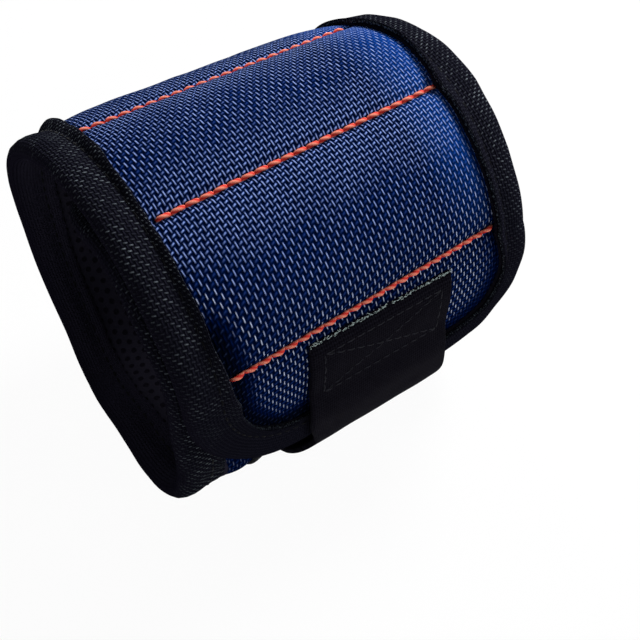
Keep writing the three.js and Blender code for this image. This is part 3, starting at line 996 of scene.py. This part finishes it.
def binding_piece(name, path, seed):
    """Tape along a path, rolled over the edge of the band, with its place kept for its material."""
    reach = path[0, 1] + run_of(path[:, :2])
    inset = np.tile(section[:, 0], (len(path), 1))
    level = np.tile(section[:, 1], (len(path), 1))
    ripple = soft_noise(reach / RIPPLE_LENGTH, np.full(len(path), seed), 61.0)[:, None]
    swing = soft_noise(reach / SWING_LENGTH, np.full(len(path), seed), 67.0)[:, None]
    rolled = np.zeros(len(section))
    rolled[:OUTER_COUNT] = np.clip((VALLEY_INSET - section[:OUTER_COUNT, 0]) / ROLL_REACH, 0, 1)
    level = level + rolled * np.sign(section[:, 1] - BAND_MIDDLE) * ROLL_RIPPLE * (ripple + swing)
    flange = np.clip((section[:, 0] - VALLEY_INSET) / (BINDING_WIDTH - VALLEY_INSET), 0, 1)
    left = np.clip(0.5 - path[:, 0] / BAND_WIDTH, 0, 1)
    trim = side_mix(left, path[:, 1], TRIM_STOPS, LEFT_TRIM, RIGHT_TRIM)
    inset = inset + flange * (EDGE_RIPPLE * ripple + trim[:, None])
    upper = np.where(section[:, 1] > BAND_MIDDLE, flange, 0)
    upper[OUTER_COUNT:] = 0
    stand = side_mix(left, path[:, 1], STAND_STOPS, LEFT_STAND, RIGHT_STAND)
    level = level + upper * stand[:, None]
    across, along, level = binding_points(path, inset, level)
    rings = on_band(across, along, level)
    flat = np.zeros(rings.shape)
    flat[..., 0] = section_reach
    flat[..., 1] = reach[:, None]
    # The third place number sets how strong the tape's painted glints are: weaker along the tab end,
    # and taken out as painted shade on the right side's inner edge
    shade = np.clip((section[:, 0] - SHADE_FROM) / SHADE_WIDTH, 0, SHADE_DEPTH)
    shine = np.clip((path[:, 1] - SHINE_FROM) / (SHINE_FULL - SHINE_FROM), 0, 1)
    flat[..., 2] = shine[:, None] * (1 - shade * (1 - left)[:, None])
    piece = make_piece(name, rings, tube_faces(*rings.shape[:2]), flat, tape)
    return piece


binding_paths = {}

for seam, (start, end) in enumerate(zip(layer_cuts, layer_cuts[1:]), start=1):
    owner = seam_owner(seam)
    if seam == 1:
        paths = {"binding_tab_end": rounded_edge(end, -1)}
        nodes = {"binding_tab_end": [
            "end_binding", f"{owner}_binding_left", f"{owner}_binding_right"]}
    elif seam == len(SEAM_JOINTS):
        paths = {"binding_loop_end": rounded_edge(start, 1)}
        nodes = {"binding_loop_end": [f"{owner}_binding"]}
    else:
        paths, nodes = {}, {}
        for word, side in (("left", -1), ("right", 1)):
            name = f"binding_{word}_{seam}"
            paths[name] = straight_edge(side, start, end)
            nodes[name] = [f"{owner}_binding_{word}"]
    for order, (name, path) in enumerate(paths.items()):
        piece = binding_piece(name, path, 3.0 * order)
        blend_at_seam(piece, seam)
        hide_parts(*nodes[name])
    binding_paths[seam] = list(paths.values())


# Sewing thread: its thickness, how far a stitch arches and how deep its ends sink

SEAM_THREAD = {"radius": 0.54, "lift": 0.6, "sink": 0.1}
BINDING_THREAD = {"radius": 0.22, "lift": 0.26, "sink": 0.14}
BOX_THREAD = {"radius": 0.18, "lift": 0.12, "sink": 0.12}
FRAYED_YARN = {"radius": 0.065, "lift": 0.08, "sink": 0.03}
THREAD_TWIST = 1.3 * math.pi
PLY_GROOVE = 0.22
THIN_END = 0.35


def between_holes(spots, above, gap):
    """Starts, ends and upward ways of stitches from hole to hole, short of both by a share."""
    inside = gap * (spots[1:] - spots[:-1])
    return spots[:-1] + inside, spots[1:] - inside, (above - spots)[:-1]


def stitch_mesh(name, runs, material, radius, lift, sink, stations=10, sides=10):
    """Runs of separate stitches of two-ply twisted thread, each arching from hole to hole."""
    t = np.linspace(0, 1, stations)
    turn = np.linspace(0, 2 * math.pi, sides, endpoint=False)
    points, flat, faces = [], [], []
    for start, end, up in [stitch for run in runs for stitch in zip(*run)]:
        way = (end - start) / np.linalg.norm(end - start)
        side = np.cross(up, way)
        side /= np.linalg.norm(side)
        raised = np.cross(way, side)
        height = lift * np.sin(math.pi * t) ** 0.6 - sink
        fullness = np.sin(math.pi * np.clip(t, 0.02, 0.98)) ** 0.35
        slim = radius * (THIN_END + (1 - THIN_END) * fullness)
        faces += tube_faces(stations, sides, len(points) * stations * sides)
        ring = []
        for k in range(stations):
            twist = turn - THREAD_TWIST * t[k]
            ply = 0.5 + 0.5 * np.cos(2 * twist)
            reach = slim[k] * (1 - PLY_GROOVE + PLY_GROOVE * ply)
            middle = start + (end - start) * t[k] + raised * height[k]
            ring.append(middle + np.outer(reach * np.cos(turn), side)
                        + np.outer(reach * np.sin(turn), raised))
            # The first place number, high on each ply's crown, places the thread's painted highlight
            flat.append(np.stack([ply, np.full(sides, t[k] * 3), turn], axis=-1))
        points.append(np.array(ring))
    return make_piece(name, np.array(points), faces, np.array(flat), material, sharp=80)


SEAM_HALF = OPEN_HALF + 0.5
SEAM_WANDER = 0.12
SEAM_WANDER_LENGTH = 4.0
# The stitches of a seam overlap a little
SEAM_GAP = -0.03
# How high the thread lies over the dip of its seam. The seam at the loop end folds the sharpest,
# and its thread stands higher so that it still shows when the band is flat
SEAM_LIFT = 0.2
SHARP_SEAM_LIFT = 0.8
stitch_count = round(2 * SEAM_HALF / STITCH_PITCH)

for seam in range(1, LOOP_SEAM + 1):
    across = np.linspace(-SEAM_HALF, SEAM_HALF, stitch_count + 1)
    wander = soft_noise(across / SEAM_WANDER_LENGTH, np.full(across.shape, float(seam)), 71.0)
    along = seam_at[seam] + SEAM_WANDER * wander
    level = COVER_TOP - SEAM_DIP + (SHARP_SEAM_LIFT if seam == LOOP_SEAM else SEAM_LIFT)
    spots, above = [on_cover(across, along, level + rise) for rise in (0, 1)]
    thread = stitch_mesh(f"seam_thread_{seam}", [between_holes(spots, above, SEAM_GAP)], red_thread,
                         **SEAM_THREAD)
    blend_at_seam(thread, seam)

# Levels of the stitching on both faces of the tape, and the way out of each face
VALLEY_LEVELS = ((1.05, 1), (-2.2, -1))
BINDING_STITCH = 3.0
BINDING_GAP = 0.12

for seam, paths in binding_paths.items():
    runs = []
    for path in paths:
        reach = run_of(path[:, :2])
        marks = np.linspace(0, reach[-1], round(reach[-1] / BINDING_STITCH) + 1)
        edge = np.stack([np.interp(marks, reach, path[:, n]) for n in range(4)], axis=-1)
        for level, out in VALLEY_LEVELS:
            inset, valley = [np.full((len(edge), 1), value) for value in (VALLEY_INSET, level)]
            across, along, height = [grid[:, 0] for grid in binding_points(edge, inset, valley)]
            spots, above = [on_band(across, along, height + rise) for rise in (0, out)]
            runs.append(between_holes(spots, above, BINDING_GAP))
    thread = stitch_mesh(f"binding_stitches_{seam}", runs, black_thread, **BINDING_THREAD)
    blend_at_seam(thread, seam)


# Hook tab: sewn over the end panel, folded under the band, with a loose pull end

tab_hinge = hinges["tab_peel"]
tip_hinge = hinges["pull_lift"]
# The tab was sewn on a little to the right, just below the first seam
TAB_SHIFT = 1.25
TAB_MARGIN = 2.15
TAB_TOP = END_LENGTH - TAB_MARGIN
# Where the tab lies over the band, as places along it and levels, and where it turns under it
TAB_OVER = ((TAB_TOP, 1.35), (22.0, 1.35), (16.0, 1.45), (11.5, 2.3), (7.0, 2.55), (3.5, 2.2))
FOLD_TURN = 0.9 * heading(-68) + np.array([0.9, 0.3])
# How far the strap sags at reaches from its hinge, and where its loose end bends
STRAP_SAG = ((6.5, 1.2), (14.0, 1.0), (23.0, 0.0))
TIP_LIFT = np.array([0.0, 0.25])
TIP_REACH = (6.5, TAB_FREE - TAB_STRAP)
tab_knots = [band_line.offset(np.array(along), np.array(level)) for along, level in TAB_OVER]
tab_knots += [tab_hinge + FOLD_TURN]
for reach, sag in STRAP_SAG:
    tab_knots += [tab_hinge + reach * heading(TAB_HEADING) + sag * heading(TAB_HEADING - 90)]
tab_knots += [tip_hinge + TIP_LIFT]
tab_knots += [tip_hinge + reach * heading(TIP_HEADING) for reach in TIP_REACH]
tab_lengths = run_of(tab_knots)
tab_line = SmoothLine(tab_lengths, tab_knots)
# Where on the line the sewn end stops, the tab folds, the strap stops and the loose end bends
SEWN_STOP, TAB_FOLD, STRAP_STOP, TIP_BEND = tab_lengths[[4, 6, 8, 10]]
# The pieces of the tab: name, solid, where it stops, where it bends and between which bodies
TAB_PIECES = (
    ("tab_sewn_end", "tab_base", SEWN_STOP, None, ("end_panel",)),
    ("tab_fold", "tab_strap", STRAP_STOP, TAB_FOLD, ("end_panel", "tab")),
    ("tab_pull_end", "tab_tip", tab_lengths[-1], TIP_BEND, ("tab", "tab_pull")))
# How far the sides of the strap are drawn in and flare at the fold, and how far that reaches
LEFT_DRAW_IN = (2.0, 5.0)
RIGHT_FLARE = (2.4, 9.0)
STRAP_LEAN = 1.5
STRAP_LEAN_REACH = 10.0
# The sewn end is thin at its top, and the sides of the tab are rounded
TAB_TAPER = 2.2
TAB_THIN = 0.3
TAB_ROUNDING = 0.6
TAB_RIM = 0.35
TAB_ROW_STEP = 0.6
TAB_ROWS = 20
TAB_COLUMNS = 61


def on_tab(across, along, level):
    """Points on the tab. Its line runs down, so its outer face is on the other side."""
    spot = tab_line.offset(along, -np.asarray(level, float))
    lean = STRAP_LEAN * np.clip((np.asarray(along, float) - TAB_FOLD) / STRAP_LEAN_REACH, 0, 1)
    return np.concatenate([(across + TAB_SHIFT - lean)[..., None], spot], axis=-1)


start = 0.0
for name, node, end, bend, bodies in TAB_PIECES:
    rows = np.linspace(start, end, max(TAB_ROWS, round((end - start) / TAB_ROW_STEP)))
    side = np.sin(np.linspace(-1, 1, TAB_COLUMNS) * math.pi / 2)
    narrowed, flared = [depth * np.exp(-((rows - TAB_FOLD) / reach) ** 2)
                        for depth, reach in (LEFT_DRAW_IN, RIGHT_FLARE)]
    half_tab = TAB_WIDTH / 2 + np.where(side < 0, -narrowed[:, None], flared[:, None])
    across, along = half_tab * side, np.outer(rows, np.ones(len(side)))
    edge = np.clip((np.abs(across) - half_tab + TAB_ROUNDING) / TAB_ROUNDING, 0, 1)
    half = TAB_THICKNESS / 2 * (TAB_RIM + (1 - TAB_RIM) * np.sqrt(1 - edge ** 2))
    low = uneven(across, along, TAB_WAVES, seed=81.0) - half
    top = low + 2 * half * np.clip(along / TAB_TAPER, TAB_THIN, 1)
    piece = sheet_piece(name, across, along, top, low, hook, place=on_tab)
    if bend is None:
        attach(piece, *bodies)
    else:
        bend_over(piece, tab_line, bend, bodies)
    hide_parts(node)
    start = end

# Box stitch with a cross in it, as runs between corners: across and along the tab
BOX_HALF = 15.0
BOX_TOP = 3.0
BOX_BOTTOM = 14.5
BOX_STITCH = 2.6
BOX_GAP = 0.08
box_corners = [(-BOX_HALF, BOX_TOP), (BOX_HALF, BOX_TOP), (BOX_HALF, BOX_BOTTOM),
               (-BOX_HALF, BOX_BOTTOM), (-BOX_HALF, BOX_TOP), (BOX_HALF, BOX_BOTTOM)]
box_runs = list(zip(box_corners, box_corners[1:]))
box_runs += [((-BOX_HALF, BOX_BOTTOM), (BOX_HALF, BOX_TOP))]
runs = []
for (x0, u0), (x1, u1) in box_runs:
    count = round(math.hypot(x1 - x0, u1 - u0) / BOX_STITCH)
    across, along = np.linspace(x0, x1, count + 1), np.linspace(u0, u1, count + 1)
    level = TAB_THICKNESS / 2 + uneven(across, along, TAB_WAVES, seed=81.0)
    spots, above = [on_tab(across, along, level + rise) for rise in (0, 1)]
    runs.append(between_holes(spots, above, BOX_GAP))
thread = stitch_mesh("tab_box_stitch", runs, worn_thread, **BOX_THREAD)
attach(thread, "end_panel")

# Frayed yarns along the cut top of the tab, with a bare place: how each leans, starts and ends
FRAY_HALF = TAB_WIDTH / 2 - 0.3
FRAY_STEP = 0.22
FRAY_BARE = (0.9, 2.6)
FRAY_LEAN = 0.8
FRAY_ROOT = (-0.1, 0.5)
FRAY_REACH = (-0.2, 0.6)
FRAY_LEVEL = -0.2 * TAB_THICKNESS
FRAY_RISE = 0.2
draws = np.random.default_rng(7)
yarns = []
for across in np.arange(-FRAY_HALF, FRAY_HALF + FRAY_STEP / 2, FRAY_STEP):
    if FRAY_BARE[0] < across < FRAY_BARE[1]:
        continue
    lean = draws.uniform(-FRAY_LEAN, FRAY_LEAN)
    root = draws.uniform(*FRAY_ROOT)
    reach = draws.uniform(*FRAY_REACH)
    level = FRAY_LEVEL + draws.uniform(0.0, FRAY_RISE)
    low, high, above = on_tab(np.array([across, across + lean, across]),
                              np.array([root, root - reach, root]), [level, level, level + 1])
    yarns.append((low, high, above - low))
fray = stitch_mesh("tab_frayed_edge", [zip(*yarns)], grey_fray, **FRAYED_YARN, stations=5, sides=5)
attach(fray, "end_panel")


# Floor under the band. Unrolled, half of the band dips below it, so the camera sees through it to
# the white behind, and the lamps shine through it: only its shadows and a faint tone of it show

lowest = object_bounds()[0].z
FLOOR_HALF = 2.0
FLOOR_CLEAR = 0.96
floor_mesh = bpy.data.meshes.new("floor")
floor_corners = [(-1, -1), (1, -1), (1, 1), (-1, 1)]
floor_mesh.from_pydata([(FLOOR_HALF * x, FLOOR_HALF * y, lowest) for x, y in floor_corners], [],
                       [(0, 1, 2, 3)])
floor_paint, tree = new_material("floor_white")
plain = add(tree, "BsdfDiffuse", [linear("#f6f6f6")])
clear = add(tree, "BsdfTransparent")
lit = add(tree, "LightPath", out="Is Shadow Ray")
passed = add(tree, "Math", [shown_white(tree), lit], "ADD", use_clamp=True)
fade = add(tree, "Math", [passed, FLOOR_CLEAR], "MULTIPLY")
mixed = add(tree, "MixShader", [fade, plain, clear])
add(tree, "OutputMaterial", [mixed])
floor_mesh.materials.append(floor_paint)
floor = bpy.data.objects.new("floor", floor_mesh)
bpy.context.scene.collection.objects.link(floor)
